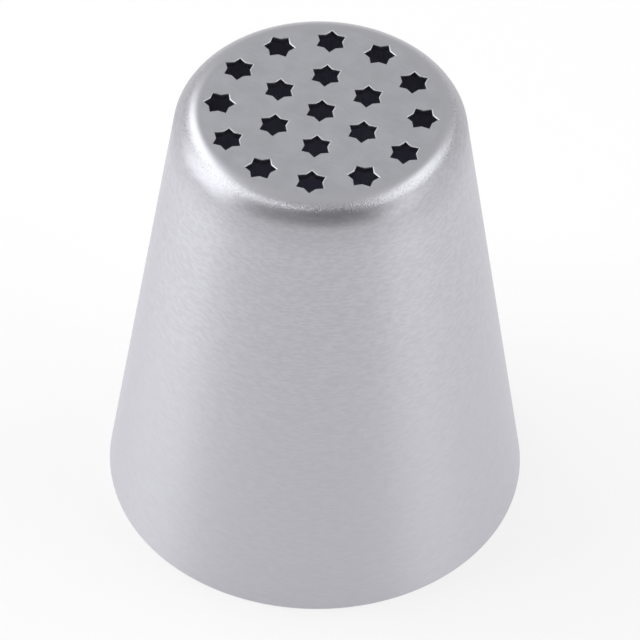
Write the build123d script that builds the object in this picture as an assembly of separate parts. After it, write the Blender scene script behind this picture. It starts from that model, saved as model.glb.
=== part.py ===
from build123d import *
import math
import os

# Piping nozzle: one piece of sheet steel drawn into a tapered cup, with star holes
# punched through its flat end. Millimetres throughout. The origin is the middle of the
# open mouth that the nozzle stands on, and +Z runs up the axis to the star end.

# Shell
mouth_diameter = 34.0      # outside, at the trimmed rim
end_diameter = 22.5        # outside, where side and end would meet with no shoulder
height = 39.5              # from the rim to the outer face of the end
wall = 0.5                 # sheet thickness, the same in side, shoulder and end
shoulder_radius = 2.2      # outside radius of the bend from the side to the end
rim_bevel = 0.1            # both edges of the trimmed rim

# One star hole
star_points = 6
star_tip_radius = 1.22     # centre to a point
star_notch_radius = 0.86   # centre to a corner between two points
lip_bevel = 0.1            # edge that the punch draws down round a hole's outer mouth

# Rings of star holes: one hole on the axis, then two rings round it
end_land = 0.18            # flat metal left between the outermost points and the shoulder
inner_ring_share = 0.503   # radius of the inner ring, of the outer ring's radius
inner_ring_holes = 6
outer_ring_holes = 12
first_hole_angle = -90     # a hole of each ring lies straight to the front, at -Y
punch_overrun = 1.0        # how far a punch passes each face of the end

# Derived sizes
mouth_radius = mouth_diameter / 2
end_radius = end_diameter / 2
half_angle = math.degrees(math.atan2(mouth_radius - end_radius, height))
shoulder_reach = shoulder_radius * math.tan(math.radians((90 - half_angle) / 2))
flat_radius = end_radius - shoulder_reach
outer_ring_radius = flat_radius - end_land - star_tip_radius
inner_ring_radius = inner_ring_share * outer_ring_radius


def drawn_shell():
    """The tapered cup: a solid cone, its shoulder rounded, hollowed from the mouth."""
    with BuildPart() as shell:
        Cone(mouth_radius, end_radius, height, align=(Align.CENTER, Align.CENTER, Align.MIN))
        fillet(shell.edges().group_by(Axis.Z)[-1], shoulder_radius)
        offset(amount=-wall, openings=shell.faces().sort_by(Axis.Z)[0])
        chamfer(shell.edges().group_by(Axis.Z)[0], rim_bevel)
    return shell.part


def star_outline():
    """The punch's section: a sharp star, one point of it on +X."""
    corners = []
    for step in range(2 * star_points):
        radius = star_notch_radius if step % 2 else star_tip_radius
        angle = math.radians(180 * step / star_points)
        corners.append((radius * math.cos(angle), radius * math.sin(angle)))
    return Polygon(*corners, align=None)


def hole_places():
    """A place for every hole, each turned so that a point of its star faces outwards."""
    rings = ((inner_ring_radius, inner_ring_holes), (outer_ring_radius, outer_ring_holes))
    places = [Location((0, 0, 0), (0, 0, first_hole_angle))]
    for radius, holes in rings:
        places += PolarLocations(radius, holes, start_angle=first_hole_angle).locations
    return places


def punch_star_holes(shell):
    """Cut the stars through the end, then bevel their outer edges."""
    star = star_outline()
    below = Location((0, 0, height - wall - punch_overrun))
    stroke = wall + 2 * punch_overrun
    punches = [extrude(below * place * star, stroke) for place in hole_places()]
    punched = shell - punches
    end_face = punched.faces().sort_by(Axis.Z)[-1]
    hole_edges = [edge for hole in end_face.inner_wires() for edge in hole.edges()]
    return chamfer(hole_edges, lip_bevel)


os.makedirs("parts", exist_ok=True)
nozzle_shell = punch_star_holes(drawn_shell())
nozzle_shell.label = "nozzle_shell"
export_step(nozzle_shell, "parts/nozzle_shell.step")
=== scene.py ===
import math
from collections import namedtuple

import bmesh
import bpy
from mathutils import Matrix, Vector


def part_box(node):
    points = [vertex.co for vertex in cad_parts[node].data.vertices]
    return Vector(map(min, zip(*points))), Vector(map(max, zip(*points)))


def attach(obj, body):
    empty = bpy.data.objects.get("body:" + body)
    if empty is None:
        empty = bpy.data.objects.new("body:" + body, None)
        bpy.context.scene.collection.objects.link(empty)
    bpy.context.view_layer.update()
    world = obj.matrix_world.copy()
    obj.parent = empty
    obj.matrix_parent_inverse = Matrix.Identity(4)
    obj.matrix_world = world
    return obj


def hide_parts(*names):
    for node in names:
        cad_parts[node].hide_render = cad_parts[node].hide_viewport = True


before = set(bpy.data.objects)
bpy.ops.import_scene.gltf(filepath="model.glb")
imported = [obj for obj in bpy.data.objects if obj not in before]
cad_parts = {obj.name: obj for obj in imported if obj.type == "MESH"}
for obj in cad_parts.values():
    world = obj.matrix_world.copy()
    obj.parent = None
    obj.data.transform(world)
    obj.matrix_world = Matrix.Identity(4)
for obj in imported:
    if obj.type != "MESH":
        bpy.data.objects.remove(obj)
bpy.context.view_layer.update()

bl_info = {
    "name": "Piping Nozzle",
    "version": (1, 0, 0),
    "blender": (4, 5, 0),
    "location": "3D View > Sidebar > Nozzle",
    "description": "Draws, punches and brushes a star-hole piping nozzle and sets its studio",
    "category": "Add Mesh",
}

# Lengths are metres and angles radians unless a name says otherwise, with Z up the axis.
MM = 0.001
SAME_PLACE = 0.001 * MM             # corners closer than this are in one place
SMOOTH_BELOW = math.radians(32)     # edges that turn less than this are shaded smooth
NODE = "nozzle_shell"
PIECE = "nozzle"
NODE_LOW, NODE_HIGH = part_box(NODE)

# Soft noise lies about its middle and seldom outside low and high. Two noises mixed lie closer.
MIDDLE = 0.5
LOW, HIGH = 0.3, 0.7
MIXED_LOW, MIXED_HIGH = 0.35, 0.65

# Turn of a brushed reflection, in whole turns, that puts the grooves round the axis
ROUND_THE_AXIS = 0.25

# Elevations in degrees between which the room changes colour
HORIZON_ENDS = (1, 5)
LOW_WALL_ENDS = (18, 26)
FRONT_WALL_ENDS = (69, 86)

# How squarely a wall lies behind the camera: 0 at its side and 1 straight behind it
FRONT_WALL_FROM, FRONT_WALL_FULL = 0.15, 0.85

# The finishes, in the order of the mesh's material slots
DRAWN, END, INSIDE = range(3)

# Lamps round the table: azimuth from straight in front to the right and elevation in degrees,
# turn about its own beam, width and height at one metre, and how bright it looks beside white.
Lamp = namedtuple("Lamp", "name azimuth elevation turn width height brightness")
LAMPS = (
    Lamp("left softbox", -104, 44, 0, 1.40, 0.45, 2.0),
    Lamp("left low strip", -85, 4, 0, 0.72, 0.14, 2.4),
    Lamp("left low box", -84, 18, 0, 0.90, 0.40, 1.1),
    Lamp("right softbox", 98, 50, 0, 0.90, 0.46, 1.65),
    Lamp("right low strip", 62, 5, 0, 0.50, 0.14, 2.3),
    Lamp("overhead strip", -36, 63, 27, 0.42, 0.06, 7.5),
)


class ShellSizes(bpy.types.PropertyGroup):
    """Sizes of the drawn shell, outside unless a size says otherwise."""

    height: bpy.props.FloatProperty(
        name="Height", description="From the rim to the flat end",
        default=NODE_HIGH.z - NODE_LOW.z, unit="LENGTH")
    mouth_radius: bpy.props.FloatProperty(
        name="Mouth radius", description="Radius at the rim, before its edges are broken",
        default=17.0 * MM, unit="LENGTH")
    end_radius: bpy.props.FloatProperty(
        name="End radius", description="Radius where side and end would meet with no shoulder",
        default=11.25 * MM, unit="LENGTH")
    wall: bpy.props.FloatProperty(
        name="Wall", description="Thickness of the sheet",
        default=0.5 * MM, unit="LENGTH")
    shoulder_radius: bpy.props.FloatProperty(
        name="Shoulder radius", description="Radius of the bend from the side to the end",
        default=2.2 * MM, unit="LENGTH")
    rim_break: bpy.props.FloatProperty(
        name="Rim break", description="Width that each edge of the rim is broken by",
        default=0.1 * MM, unit="LENGTH")
    segments: bpy.props.IntProperty(
        name="Segments", description="Facets round the axis", default=288)
    shoulder_steps: bpy.props.IntProperty(
        name="Shoulder steps", description="Facets over the bend", default=24)
    rim_steps: bpy.props.IntProperty(
        name="Rim steps", description="Facets over each edge of the rim", default=3)
    collar: bpy.props.FloatProperty(
        name="Collar", description="Flat ring between the shoulder and the rest of the end",
        default=0.02 * MM, unit="LENGTH")
    side_cut: bpy.props.FloatProperty(
        name="Side cut", description="How far under the shoulder a ring is cut into the side",
        default=0.15 * MM, unit="LENGTH")

    def taper(self):
        """Angle of the side to the axis."""
        return math.atan2(self.mouth_radius - self.end_radius, self.height)

    def reach(self, radius):
        """How far a bend of this radius reaches along the side and the end from their corner."""
        return radius * math.tan((math.pi / 2 - self.taper()) / 2)

    def flat_radius(self):
        """Radius at which the flat end turns into the shoulder."""
        return self.end_radius - self.reach(self.shoulder_radius)

    def side_top(self):
        """Height at which the side turns into the shoulder."""
        return self.height - self.reach(self.shoulder_radius) * math.cos(self.taper())


class StarSizes(bpy.types.PropertyGroup):
    """Sizes of the star holes and of their rings."""

    points: bpy.props.IntProperty(
        name="Points", description="Points of one star", default=6)
    tip_radius: bpy.props.FloatProperty(
        name="Tip radius", description="From a star's middle to a point",
        default=1.22 * MM, unit="LENGTH")
    notch_radius: bpy.props.FloatProperty(
        name="Notch radius", description="From a star's middle to a corner between points",
        default=0.86 * MM, unit="LENGTH")
    lip: bpy.props.FloatProperty(
        name="Lip", description="Radius of the edge that the punch rolls down",
        default=0.1 * MM, unit="LENGTH")
    lip_steps: bpy.props.IntProperty(
        name="Lip steps", description="Facets over the lip", default=4)
    end_land: bpy.props.FloatProperty(
        name="Land", description="Flat metal between the outermost points and the shoulder",
        default=0.18 * MM, unit="LENGTH")
    inner_ring_share: bpy.props.FloatProperty(
        name="Inner ring", description="Radius of the inner ring, of the outer ring's",
        default=0.503, subtype="FACTOR")
    inner_holes: bpy.props.IntProperty(
        name="Inner holes", description="Holes in the inner ring", default=6)
    outer_holes: bpy.props.IntProperty(
        name="Outer holes", description="Holes in the outer ring", default=12)


class SteelFinish(bpy.types.PropertyGroup):
    """Colours and grain of the steel."""

    side_dark: bpy.props.FloatVectorProperty(
        name="Side, dark", description="Steel in the brush lines",
        default=(0.555, 0.55, 0.592, 1), size=4, subtype="COLOR")
    side_light: bpy.props.FloatVectorProperty(
        name="Side, light", description="Steel between the brush lines",
        default=(0.615, 0.61, 0.657, 1), size=4, subtype="COLOR")
    # Painted shade: a grey that darkens the top of the brushed side and the shoulder's foot,
    # standing in for the dark band they reflect
    painted_shoulder_shade: bpy.props.FloatVectorProperty(
        name="Painted shoulder shade", description="Painted shade that darkens the brushed steel towards the shoulder",
        default=(0.87, 0.87, 0.87, 1), size=4, subtype="COLOR")
    shoulder_dark: bpy.props.FloatVectorProperty(
        name="Shoulder, dark", description="Steel in the hollows of the shoulder's grain",
        default=(0.40, 0.40, 0.43, 1), size=4, subtype="COLOR")
    shoulder_light: bpy.props.FloatVectorProperty(
        name="Shoulder, light", description="Steel on the shoulder's grain",
        default=(0.52, 0.52, 0.556, 1), size=4, subtype="COLOR")
    end_dark: bpy.props.FloatVectorProperty(
        name="End, dark", description="Ground steel of the flat end, where it is darker",
        default=(0.438, 0.442, 0.473, 1), size=4, subtype="COLOR")
    end_light: bpy.props.FloatVectorProperty(
        name="End, light", description="Ground steel of the flat end, where it is lighter",
        default=(0.476, 0.481, 0.514, 1), size=4, subtype="COLOR")
    inside_colour: bpy.props.FloatVectorProperty(
        name="Inside", description="Unpolished steel of the inner wall",
        default=(0.6, 0.6, 0.62, 1), size=4, subtype="COLOR")
    brush_depth: bpy.props.FloatProperty(
        name="Brush depth", description="Depth of the brush lines",
        default=0.001 * MM, unit="LENGTH")
    brush_length: bpy.props.FloatProperty(
        name="Brush length", description="Length of one brush line on the side",
        default=0.75 * MM, unit="LENGTH")
    brush_width: bpy.props.FloatProperty(
        name="Brush width", description="Width of one brush line on the side",
        default=0.22 * MM, unit="LENGTH")
    brush_from: bpy.props.FloatProperty(
        name="Brush from", description="Share of the height from which the lines strengthen",
        default=0.2, subtype="FACTOR")
    # Where the painted shade under the shoulder starts and where it is full
    shade_below: bpy.props.FloatProperty(
        name="Shade below", description="How far under the bend its shade starts",
        default=3.0 * MM, unit="LENGTH")
    shade_above: bpy.props.FloatProperty(
        name="Shade above", description="How far up the bend its shade is full",
        default=0.6 * MM, unit="LENGTH")
    bend_from: bpy.props.FloatProperty(
        name="Bend from", description="Depth under the end at which the brushing starts to fade",
        default=1.0 * MM, unit="LENGTH")
    bend_to: bpy.props.FloatProperty(
        name="Bend to", description="Depth under the end at which the brushing is gone",
        default=0.3 * MM, unit="LENGTH")
    grain_from: bpy.props.FloatProperty(
        name="Grain from", description="Depth under the end at which the grain starts",
        default=0.06 * MM, unit="LENGTH")
    grain_to: bpy.props.FloatProperty(
        name="Grain to", description="Depth under the end at which the grain is full",
        default=0.33 * MM, unit="LENGTH")
    grain: bpy.props.FloatProperty(
        name="Grain", description="Size of the grain that the draw leaves on the shoulder",
        default=0.14 * MM, unit="LENGTH")
    grain_depth: bpy.props.FloatProperty(
        name="Grain depth", description="Depth of the shoulder's grain",
        default=0.028 * MM, unit="LENGTH")
    ground_depth: bpy.props.FloatProperty(
        name="Ground depth", description="Depth of the grinding lines on the flat end",
        default=0.0015 * MM, unit="LENGTH")
    ground_width: bpy.props.FloatProperty(
        name="Ground width", description="Width of one grinding line",
        default=0.15 * MM, unit="LENGTH")
    ground_stretch: bpy.props.FloatProperty(
        name="Ground stretch", description="How many times its width a grinding line is long",
        default=8)
    ground_turn: bpy.props.FloatProperty(
        name="Ground turn", description="Angle of the grinding lines from straight across",
        default=math.radians(-25), subtype="ANGLE")
    mottle: bpy.props.FloatProperty(
        name="Mottle", description="Size of the soft patches on the flat end",
        default=1.6 * MM, unit="LENGTH")
    mottle_share: bpy.props.FloatProperty(
        name="Mottle share", description="Weight of the patches beside the grinding lines",
        default=0.6, subtype="FACTOR")
    inside_length: bpy.props.FloatProperty(
        name="Inside length", description="Length of one mark up the inner wall",
        default=3 * MM, unit="LENGTH")
    inside_marks: bpy.props.FloatProperty(
        name="Inside marks", description="How close the marks stand round the inner wall",
        default=60)
    inside_depth: bpy.props.FloatProperty(
        name="Inside depth", description="Depth of the marks on the inner wall",
        default=0.004 * MM, unit="LENGTH")
    anisotropy: bpy.props.FloatProperty(
        name="Anisotropy", description="How far the brushing stretches a reflection",
        default=0.74, subtype="FACTOR")
    side_roughness: bpy.props.FloatProperty(
        name="Side roughness", description="Roughness of the brushed side",
        default=0.416, subtype="FACTOR")
    shoulder_roughness: bpy.props.FloatProperty(
        name="Shoulder roughness", description="Roughness of the drawn shoulder",
        default=0.3, subtype="FACTOR")
    end_roughness: bpy.props.FloatProperty(
        name="End roughness", description="Roughness of the ground end",
        default=0.316, subtype="FACTOR")
    inside_roughness: bpy.props.FloatProperty(
        name="Inside roughness", description="Roughness of the inner wall",
        default=0.45, subtype="FACTOR")
    side_unevenness: bpy.props.FloatProperty(
        name="Side unevenness", description="How far the brush lines vary the roughness",
        default=0.04, subtype="FACTOR")
    unevenness: bpy.props.FloatProperty(
        name="Unevenness", description="How far the grain and the grinding vary the roughness",
        default=0.15, subtype="FACTOR")
    inside_unevenness: bpy.props.FloatProperty(
        name="Inside unevenness", description="How far the inner wall's marks vary the roughness",
        default=0.2, subtype="FACTOR")


class StageSizes(bpy.types.PropertyGroup):
    """The camera, the lamps' distance, the floor and the room."""

    azimuth: bpy.props.FloatProperty(
        name="Azimuth", description="Of the camera, from straight in front to the right",
        default=math.radians(4.99), subtype="ANGLE")
    elevation: bpy.props.FloatProperty(
        name="Elevation", description="Of the camera above the nozzle's middle",
        default=math.radians(45.53), subtype="ANGLE")
    distance: bpy.props.FloatProperty(
        name="Distance", description="From the nozzle's middle to the camera",
        default=450 * MM, unit="LENGTH")
    aim_right: bpy.props.FloatProperty(
        name="Aim right", description="How far right of the axis the camera aims",
        default=0.22 * MM, unit="LENGTH")
    aim_height: bpy.props.FloatProperty(
        name="Aim height", description="Height on the axis that the camera aims at",
        default=16.07 * MM, unit="LENGTH")
    roll: bpy.props.FloatProperty(
        name="Roll", description="Tilt of the camera, anticlockwise",
        default=math.radians(1.02), subtype="ANGLE")
    lens: bpy.props.FloatProperty(
        name="Lens", description="Focal length, in millimetres", default=315.0)
    sensor: bpy.props.FloatProperty(
        name="Sensor", description="Width of the camera's sensor, in millimetres", default=36.0)
    clip_start: bpy.props.FloatProperty(
        name="Clip start", description="Nearest distance that the camera sees",
        default=10 * MM, unit="LENGTH")
    lamp_distance: bpy.props.FloatProperty(
        name="Lamp distance", description="From the nozzle's middle to every lamp",
        default=1.0, unit="LENGTH")
    floor_radius: bpy.props.FloatProperty(
        name="Floor radius", description="Radius of the round floor",
        default=6.0, unit="LENGTH")
    floor_segments: bpy.props.IntProperty(
        name="Floor segments", description="Sides of the round floor", default=64)
    floor_colour: bpy.props.FloatVectorProperty(
        name="Floor", description="Colour of the floor where light falls on it",
        default=(0.3, 0.3, 0.3, 1), size=4, subtype="COLOR")
    floor_lift: bpy.props.FloatVectorProperty(
        name="Floor lift", description="Colour that the floor shows round the nozzle without light",
        default=(0.685, 0.685, 0.685, 1), size=4, subtype="COLOR")
    # Painted shade: a dim glow on the floor in the nozzle's mouth that stands in for the shade
    # under the nozzle
    painted_mouth_shade: bpy.props.FloatVectorProperty(
        name="Mouth", description="Painted shade that the floor shows in the nozzle, as a glow without light",
        default=(0.026, 0.025, 0.037, 1), size=4, subtype="COLOR")
    room_colour: bpy.props.FloatVectorProperty(
        name="Room", description="Colour of the walls and the ceiling round the table",
        default=(0.75, 0.75, 0.75, 1), size=4, subtype="COLOR")
    front_colour: bpy.props.FloatVectorProperty(
        name="Front wall", description="Colour of the dark wall behind the camera",
        default=(0.21, 0.21, 0.21, 1), size=4, subtype="COLOR")
    low_colour: bpy.props.FloatVectorProperty(
        name="Low front wall", description="Colour of the lower part of that wall",
        default=(0.12, 0.12, 0.12, 1), size=4, subtype="COLOR")
    horizon_colour: bpy.props.FloatVectorProperty(
        name="Horizon", description="Colour of the room at the floor's far edge",
        default=(1, 1, 1, 1), size=4, subtype="COLOR")


class Socket:
    """One output of a shader node; arithmetic on it adds Math nodes."""

    def __init__(self, tree, output):
        self.tree = tree
        self.output = output

    def math(self, operation, first, second=0.0):
        return self.tree.add("ShaderNodeMath", {"operation": operation}, {0: first, 1: second})

    def __add__(self, other):
        return self.math("ADD", self, other)

    def __sub__(self, other):
        return self.math("SUBTRACT", self, other)

    def __mul__(self, other):
        return self.math("MULTIPLY", self, other)

    def __truediv__(self, other):
        return self.math("DIVIDE", self, other)

    def __rsub__(self, other):
        return self.math("SUBTRACT", other, self)

    def __rtruediv__(self, other):
        return self.math("DIVIDE", other, self)

    __radd__ = __add__
    __rmul__ = __mul__

    def root(self):
        return self.math("SQRT", self)

    def ramp(self, start, end):
        """0 up to start and 1 from end, with a smooth rise between."""
        return self.tree.add(
            "ShaderNodeMapRange", {"interpolation_type": "SMOOTHSTEP"},
            {"Value": self, "From Min": start, "From Max": end})


class Tree:
    """The node tree of a material or a world, emptied and built up by calls."""

    def __init__(self, owner):
        owner.use_nodes = True
        self.nodes = owner.node_tree.nodes
        self.links = owner.node_tree.links
        self.nodes.clear()

    def add(self, kind, settings=None, sockets=None, output=0):
        """A node of this kind: its settings first, then its sockets' values or links."""
        node = self.nodes.new(kind)
        for name, value in (settings or {}).items():
            setattr(node, name, value)
        for name, value in (sockets or {}).items():
            if isinstance(value, Socket):
                self.links.new(value.output, node.inputs[name])
            else:
                node.inputs[name].default_value = value
        return Socket(self, node.outputs[output]) if node.outputs else None

    def mix(self, share, first, second, blend="MIX"):
        """A colour between two colours."""
        return self.add(
            "ShaderNodeMix", {"data_type": "RGBA", "blend_type": blend},
            {0: share, 6: first, 7: second}, output=2)

    def axes(self, vector):
        """The three numbers of a vector."""
        return [self.add("ShaderNodeSeparateXYZ", None, {0: vector}, output=axis)
                for axis in range(3)]

    def vector(self, x, y, z):
        return self.add("ShaderNodeCombineXYZ", None, {0: x, 1: y, 2: z})

    def noise(self, vector, scale=1.0, detail=2.0, roughness=0.5):
        """Soft noise about its middle."""
        return self.add("ShaderNodeTexNoise", None, {
            "Vector": vector, "Scale": scale, "Detail": detail, "Roughness": roughness})

    def steel(self, colour, roughness, height, depth, anisotropy=0.0):
        """Bare steel whose bumps are depth high; with anisotropy, its grooves run round."""
        normal = self.add("ShaderNodeBump", None, {
            "Strength": 1.0, "Distance": depth, "Height": height})
        return self.add("ShaderNodeBsdfPrincipled", None, {
            "Base Color": colour, "Metallic": 1.0, "Roughness": roughness, "Normal": normal,
            "Anisotropic": anisotropy, "Anisotropic Rotation": ROUND_THE_AXIS})

    def surface(self, shader):
        """Finish the tree: this shader is the material."""
        self.add("ShaderNodeOutputMaterial", None, {"Surface": shader})


def round_axis(tree):
    """Where a point is round the axis, as two numbers, and its radius and height."""
    x, y, z = tree.axes(tree.add("ShaderNodeTexCoord", output="Object"))
    radius = (x * x + y * y).root()
    return x / radius, y / radius, radius, z


def round_noise(tree, shell, length, width):
    """Noise in marks of this length round the axis and this width along the section."""
    across, forward, radius, height = round_axis(tree)
    turns = (shell.mouth_radius + shell.end_radius) / 2 / length
    along = (height - radius) / width
    return tree.noise(tree.vector(across * turns, forward * turns, along), roughness=0.6)


def drawn_steel(tree, shell, finish):
    """Brushed round the axis on the side, with painted shade towards the shoulder; on the shoulder
    the brushing fades into a grain.
    """
    height = round_axis(tree)[3]
    brush = round_noise(tree, shell, finish.brush_length, finish.brush_width)
    strength = MIDDLE + height.ramp(shell.height * finish.brush_from, shell.height)
    share = MIDDLE + (brush.ramp(LOW, HIGH) - MIDDLE) * strength
    lines = tree.mix(share, finish.side_dark, finish.side_light)
    # Painted shade: the brush colours are darkened over the top of the side and the shoulder's foot
    painted_shade_share = height.ramp(
        shell.side_top() - finish.shade_below, shell.side_top() + finish.shade_above)
    lines = tree.mix(painted_shade_share, lines, finish.painted_shoulder_shade, blend="MULTIPLY")
    side = tree.steel(
        lines, finish.side_roughness + (brush - MIDDLE) * finish.side_unevenness,
        brush, finish.brush_depth, finish.anisotropy)
    grained = 1 - height.ramp(shell.height - finish.grain_to, shell.height - finish.grain_from)
    grain = round_noise(tree, shell, finish.grain, finish.grain * 2)
    grain = (grain - MIDDLE) * grained
    specks = tree.mix(
        grain.ramp(LOW - MIDDLE, HIGH - MIDDLE), finish.shoulder_dark, finish.shoulder_light)
    shoulder = tree.steel(
        specks, finish.shoulder_roughness + grain * finish.unevenness, grain, finish.grain_depth)
    bent = height.ramp(shell.height - finish.bend_from, shell.height - finish.bend_to)
    tree.surface(tree.add("ShaderNodeMixShader", None, {0: bent, 1: side, 2: shoulder}))


def end_steel(tree, shell, finish):
    """Ground flat: soft mottling under faint straight grinding lines."""
    place = tree.add("ShaderNodeTexCoord", output="Object")
    mottle = tree.noise(place, scale=1 / finish.mottle, detail=3)
    turned = tree.add("ShaderNodeMapping", {"vector_type": "TEXTURE"}, {
        "Vector": place, "Rotation": (0, 0, finish.ground_turn),
        "Scale": (finish.ground_stretch, 1, 1)})
    lines = tree.noise(turned, scale=1 / finish.ground_width, roughness=0.6)
    both = mottle * finish.mottle_share + lines * (1 - finish.mottle_share)
    colour = tree.mix(both.ramp(MIXED_LOW, MIXED_HIGH), finish.end_dark, finish.end_light)
    tree.surface(tree.steel(
        colour, finish.end_roughness + (both - MIDDLE) * finish.unevenness,
        lines, finish.ground_depth))


def inner_steel(tree, shell, finish):
    """Left dull by the draw, with long marks up the wall."""
    across, forward, _, height = round_axis(tree)
    closeness = finish.inside_marks
    marks = tree.noise(tree.vector(
        across * closeness, forward * closeness, height / finish.inside_length), detail=3)
    colour = tree.mix(marks.ramp(LOW, HIGH), finish.inside_colour, finish.side_dark)
    tree.surface(tree.steel(
        colour, finish.inside_roughness + (marks - MIDDLE) * finish.inside_unevenness,
        marks, finish.inside_depth))


FINISHES = {DRAWN: drawn_steel, END: end_steel, INSIDE: inner_steel}


def ring_edges(mesh, radius, height):
    """The edges of the ring at this radius and height."""
    def on_ring(vert):
        off = math.hypot(math.hypot(vert.co.x, vert.co.y) - radius, vert.co.z - height)
        return off < SAME_PLACE
    return [edge for edge in mesh.edges if all(on_ring(vert) for vert in edge.verts)]


def round_ring(mesh, radius, height, reach, steps):
    """Round the corner that runs round the shell at this radius and height."""
    bmesh.ops.bevel(
        mesh, geom=ring_edges(mesh, radius, height), affect="EDGES", offset_type="OFFSET",
        offset=reach, segments=steps, profile=0.5, material=-1)


def cut_rings(mesh, height):
    """Cut a ring into every wall at this height, so that shading stays true beside a bend."""
    bmesh.ops.bisect_plane(
        mesh, geom=mesh.verts[:] + mesh.edges[:] + mesh.faces[:],
        plane_co=(0, 0, height), plane_no=(0, 0, 1))


def spin_shell(mesh, shell):
    """The shell without its end: its section spun round the axis and its corners rounded.

    Gives the edges of its outer and of its inner opening."""
    bend_inside = shell.shoulder_radius - shell.wall
    under = shell.height - shell.wall
    gap = shell.wall / math.cos(shell.taper())
    inner_mouth = shell.mouth_radius - gap
    inner_end = shell.end_radius - gap + shell.wall * math.tan(shell.taper())
    inner_flat = inner_end - shell.reach(bend_inside)
    section = [
        (shell.flat_radius() - shell.collar, shell.height), (shell.end_radius, shell.height),
        (shell.mouth_radius, 0), (inner_mouth, 0),
        (inner_end, under), (inner_flat - shell.collar, under),
    ]
    verts = [mesh.verts.new((r, 0, z)) for r, z in section]
    edges = [mesh.edges.new(pair) for pair in zip(verts, verts[1:])]
    bmesh.ops.spin(
        mesh, geom=verts + edges, cent=(0, 0, 0), axis=(0, 0, 1), dvec=(0, 0, 0),
        angle=2 * math.pi, steps=shell.segments, use_merge=True, use_duplicate=False)
    round_ring(mesh, shell.end_radius, shell.height,
               shell.reach(shell.shoulder_radius), shell.shoulder_steps)
    round_ring(mesh, inner_end, under, shell.reach(bend_inside), shell.shoulder_steps)
    round_ring(mesh, shell.mouth_radius, 0, shell.rim_break, shell.rim_steps)
    round_ring(mesh, inner_mouth, 0, shell.rim_break, shell.rim_steps)
    cut_rings(mesh, 2 * shell.rim_break)
    cut_rings(mesh, shell.side_top() - shell.side_cut)
    open_edges = [edge for edge in mesh.edges if edge.is_boundary]
    outer = [edge for edge in open_edges if edge.verts[0].co.z > shell.height - shell.wall / 2]
    inner = [edge for edge in open_edges if edge.verts[0].co.z < shell.height - shell.wall / 2]
    return outer, inner


def star_loop(mesh, star, place, offset, height):
    """A closed loop of edges: one star's outline, moved outwards by offset."""
    step = math.pi / star.points
    side = math.atan2(
        star.notch_radius * math.sin(step), star.tip_radius - star.notch_radius * math.cos(step))
    tip = star.tip_radius + offset / math.sin(side)
    notch = star.notch_radius + offset / math.sin(side + step)
    lift = Matrix.Translation((0, 0, height))
    ring = bmesh.ops.create_circle(
        mesh, segments=2 * star.points, radius=tip, matrix=lift @ place)["verts"]
    middle = lift @ place.translation
    for vert in ring[1::2]:
        vert.co = middle + (vert.co - middle) * (notch / tip)
    return list({edge for vert in ring for edge in vert.link_edges})


def hole_places(shell, star):
    """The places of the holes, each turned so that +Y, where a star has a point, is outwards."""
    outer = shell.flat_radius() - star.end_land - star.tip_radius
    rings = ((0, 1), (outer * star.inner_ring_share, star.inner_holes), (outer, star.outer_holes))
    places = []
    for radius, holes in rings:
        for hole in range(holes):
            turn = Matrix.Rotation(math.pi + 2 * math.pi * hole / holes, 4, "Z")
            places.append(turn @ Matrix.Translation((0, radius, 0)))
    return places


def punch_hole(mesh, shell, star, place):
    """One star hole with its rolled lip, and the loops that its two ends open with."""
    loops = []
    for step in range(star.lip_steps + 1):
        turn = math.pi / 2 * step / star.lip_steps
        offset = star.lip * (1 - math.sin(turn))
        height = shell.height - star.lip * (1 - math.cos(turn))
        loops.append(star_loop(mesh, star, place, offset, height))
    loops.append(star_loop(mesh, star, place, 0, shell.height - shell.wall))
    for above, below in zip(loops, loops[1:]):
        bmesh.ops.bridge_loops(mesh, edges=above + below)
    return loops[0], loops[-1]


def close_end(mesh, edges, finish):
    """Fill the flat end between its round edge and the holes, shaded flat."""
    filled = bmesh.ops.triangle_fill(mesh, edges=edges, use_beauty=True, use_dissolve=False)
    for face in filled["geom"]:
        if isinstance(face, bmesh.types.BMFace):
            face.material_index = finish
            face.smooth = False


def finish_of(shell, face):
    """Which finish a face of the spun shell has."""
    middle = face.calc_center_median()
    radius = math.hypot(middle.x, middle.y)
    inward = face.normal.x * middle.x + face.normal.y * middle.y < 0
    if middle.z > shell.height - SAME_PLACE:
        return END
    if inward or middle.z < shell.rim_break or radius < shell.flat_radius() - shell.wall:
        return INSIDE
    return DRAWN


def build_nozzle(shell, star):
    """The whole shell as one closed mesh, with its finishes on its faces."""
    mesh = bmesh.new()
    outer_edge, inner_edge = spin_shell(mesh, shell)
    spun = len(mesh.faces)
    tops, bottoms = [], []
    for place in hole_places(shell, star):
        top, bottom = punch_hole(mesh, shell, star, place)
        tops += top
        bottoms += bottom
    for face in mesh.faces:
        face.smooth = True
        face.material_index = END
    close_end(mesh, outer_edge + tops, END)
    close_end(mesh, inner_edge + bottoms, INSIDE)
    bmesh.ops.recalc_face_normals(mesh, faces=mesh.faces)
    mesh.faces.ensure_lookup_table()
    for face in mesh.faces[:spun]:
        face.material_index = finish_of(shell, face)
    for edge in mesh.edges:
        edge.smooth = edge.calc_face_angle(0) < SMOOTH_BELOW
    data = bpy.data.meshes.new(PIECE)
    mesh.to_mesh(data)
    mesh.free()
    return data


def direction(azimuth, elevation):
    """Unit vector towards this azimuth, from straight in front to the right, and elevation."""
    level = Vector((math.sin(azimuth), -math.cos(azimuth), 0))
    return level * math.cos(elevation) + Vector((0, 0, math.sin(elevation)))


def looking(eye, aim):
    """The matrix of a lamp or camera at eye, pointed at aim."""
    return Matrix.Translation(eye) @ (aim - eye).to_track_quat("-Z", "Y").to_matrix().to_4x4()


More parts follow.
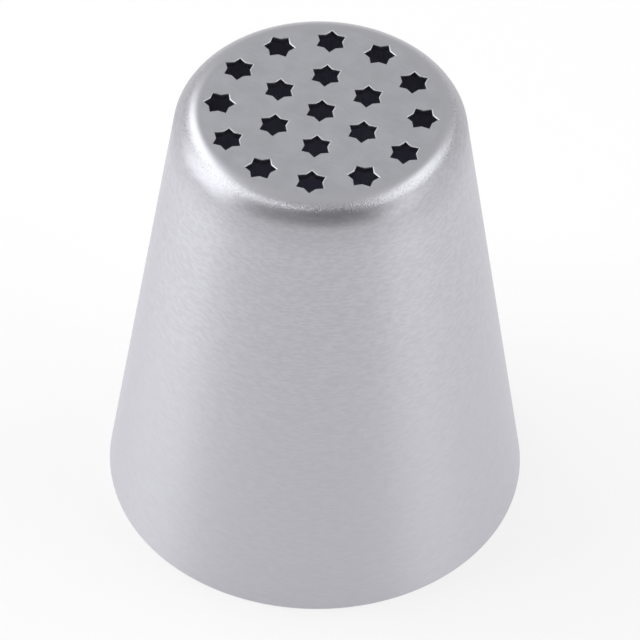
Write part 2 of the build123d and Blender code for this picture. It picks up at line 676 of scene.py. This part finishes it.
def place_camera(scene, stage, middle):
    lens = bpy.data.cameras.new("camera")
    lens.lens = stage.lens
    lens.sensor_width = stage.sensor
    lens.clip_start = stage.clip_start
    camera = bpy.data.objects.new("camera", lens)
    eye = middle + direction(stage.azimuth, stage.elevation) * stage.distance
    aim = direction(stage.azimuth + math.pi / 2, 0) * stage.aim_right
    aim.z = stage.aim_height
    camera.matrix_world = looking(eye, aim) @ Matrix.Rotation(stage.roll, 4, "Z")
    scene.collection.objects.link(camera)
    scene.camera = camera


def place_lamps(scene, stage, middle):
    """The soft lamps, each as bright to look at as its table says whatever its size."""
    for lamp in LAMPS:
        light = bpy.data.lights.new(lamp.name, "AREA")
        light.shape = "RECTANGLE"
        light.size = lamp.width * stage.lamp_distance
        light.size_y = lamp.height * stage.lamp_distance
        light.energy = lamp.brightness * math.pi * light.size * light.size_y
        towards = direction(math.radians(lamp.azimuth), math.radians(lamp.elevation))
        holder = bpy.data.objects.new(lamp.name, light)
        aimed = looking(middle + towards * stage.lamp_distance, middle)
        holder.matrix_world = aimed @ Matrix.Rotation(math.radians(lamp.turn), 4, "Z")
        scene.collection.objects.link(holder)


def seen_white(tree):
    """1 for what the camera sees itself, in a reflection or through glass, and 0 for light."""
    rays = [tree.add("ShaderNodeLightPath", output=name)
            for name in ("Is Camera Ray", "Is Glossy Ray", "Is Transmission Ray")]
    seen = rays[0] + rays[1] + rays[2]
    return seen.math("MINIMUM", seen, 1.0)


def lay_floor(scene, stage, shell):
    """A pale round floor. It looks white, keeps the nozzle's shadow and has a painted shade in its
    mouth.
    """
    mesh = bmesh.new()
    bmesh.ops.create_circle(
        mesh, cap_ends=True, segments=stage.floor_segments, radius=stage.floor_radius)
    data = bpy.data.meshes.new("floor")
    mesh.to_mesh(data)
    mesh.free()
    floor = bpy.data.objects.new("floor", data)
    scene.collection.objects.link(floor)
    paint = bpy.data.materials.new("floor")
    tree = Tree(paint)
    radius = round_axis(tree)[2]
    outside = radius.ramp(shell.mouth_radius - shell.wall, shell.mouth_radius)
    dull = tree.add("ShaderNodeBsdfDiffuse", None, {"Color": stage.floor_colour})
    # In the mouth the white lift gives way to the painted shade under the nozzle
    lift = tree.add("ShaderNodeEmission", None, {
        "Color": tree.mix(outside, stage.painted_mouth_shade, stage.floor_lift),
        "Strength": seen_white(tree)})
    both = tree.add("ShaderNodeAddShader", None, {0: dull, 1: lift})
    tree.add("ShaderNodeOutputMaterial", None, {"Surface": both})
    data.materials.append(paint)


def paint_room(scene, stage):
    """The room round the table: white at the horizon, grey above, dark behind the camera."""
    scene.world = bpy.data.worlds.new("room")
    tree = Tree(scene.world)
    x, y, up = tree.axes(tree.add("ShaderNodeTexCoord", output="Generated"))
    front = ((0 - y) / (x * x + y * y).root()).ramp(FRONT_WALL_FROM, FRONT_WALL_FULL)
    above, middle, overhead = [
        up.ramp(*[math.sin(math.radians(elevation)) for elevation in ends])
        for ends in (HORIZON_ENDS, LOW_WALL_ENDS, FRONT_WALL_ENDS)]
    wall = tree.mix(middle, stage.low_colour, stage.front_colour)
    walls = tree.mix(front * (1 - overhead), stage.room_colour, wall)
    colour = tree.mix(above, stage.horizon_colour, walls)
    sky = tree.add("ShaderNodeBackground", None, {"Color": colour})
    tree.add("ShaderNodeOutputWorld", None, {"Surface": sky})


class NOZZLE_OT_draw_shell(bpy.types.Operator):
    """Draw the shell, punch its star holes and give it its finishes"""

    bl_idname = "nozzle.draw_shell"
    bl_label = "Draw Nozzle"

    def execute(self, context):
        scene = context.scene
        shell = scene.nozzle_shell_sizes
        data = build_nozzle(shell, scene.nozzle_star_sizes)
        piece = bpy.data.objects.new(PIECE, data)
        scene.collection.objects.link(piece)
        for slot in sorted(FINISHES):
            make = FINISHES[slot]
            steel = bpy.data.materials.new(make.__name__.replace("_", " "))
            make(Tree(steel), shell, scene.nozzle_steel_finish)
            data.materials.append(steel)
        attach(piece, "root")
        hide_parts(NODE)
        return {"FINISHED"}


class NOZZLE_OT_set_stage(bpy.types.Operator):
    """Set the floor, the room, the lamps and the camera"""

    bl_idname = "nozzle.set_stage"
    bl_label = "Set Stage"

    def execute(self, context):
        scene = context.scene
        shell = scene.nozzle_shell_sizes
        stage = scene.nozzle_stage_sizes
        middle = Vector((0, 0, shell.height / 2))
        scene.view_settings.view_transform = "Standard"
        place_camera(scene, stage, middle)
        place_lamps(scene, stage, middle)
        lay_floor(scene, stage, shell)
        paint_room(scene, stage)
        return {"FINISHED"}


class NOZZLE_PT_sidebar(bpy.types.Panel):
    """The nozzle's operators in the order in which they are run"""

    bl_label = "Piping Nozzle"
    bl_space_type = "VIEW_3D"
    bl_region_type = "UI"
    bl_category = "Nozzle"

    def draw(self, context):
        self.layout.operator(NOZZLE_OT_draw_shell.bl_idname)
        self.layout.operator(NOZZLE_OT_set_stage.bl_idname)


GROUPS = {
    "nozzle_shell_sizes": ShellSizes,
    "nozzle_star_sizes": StarSizes,
    "nozzle_steel_finish": SteelFinish,
    "nozzle_stage_sizes": StageSizes,
}
TOOLS = (NOZZLE_OT_draw_shell, NOZZLE_OT_set_stage, NOZZLE_PT_sidebar)


def register():
    for name, group in GROUPS.items():
        bpy.utils.register_class(group)
        setattr(bpy.types.Scene, name, bpy.props.PointerProperty(type=group))
    for tool in TOOLS:
        bpy.utils.register_class(tool)


def unregister():
    for tool in reversed(TOOLS):
        bpy.utils.unregister_class(tool)
    for name, group in GROUPS.items():
        delattr(bpy.types.Scene, name)
        bpy.utils.unregister_class(group)


def main():
    register()
    bpy.ops.nozzle.draw_shell()
    bpy.ops.nozzle.set_stage()


if __name__ == "__main__":
    main()
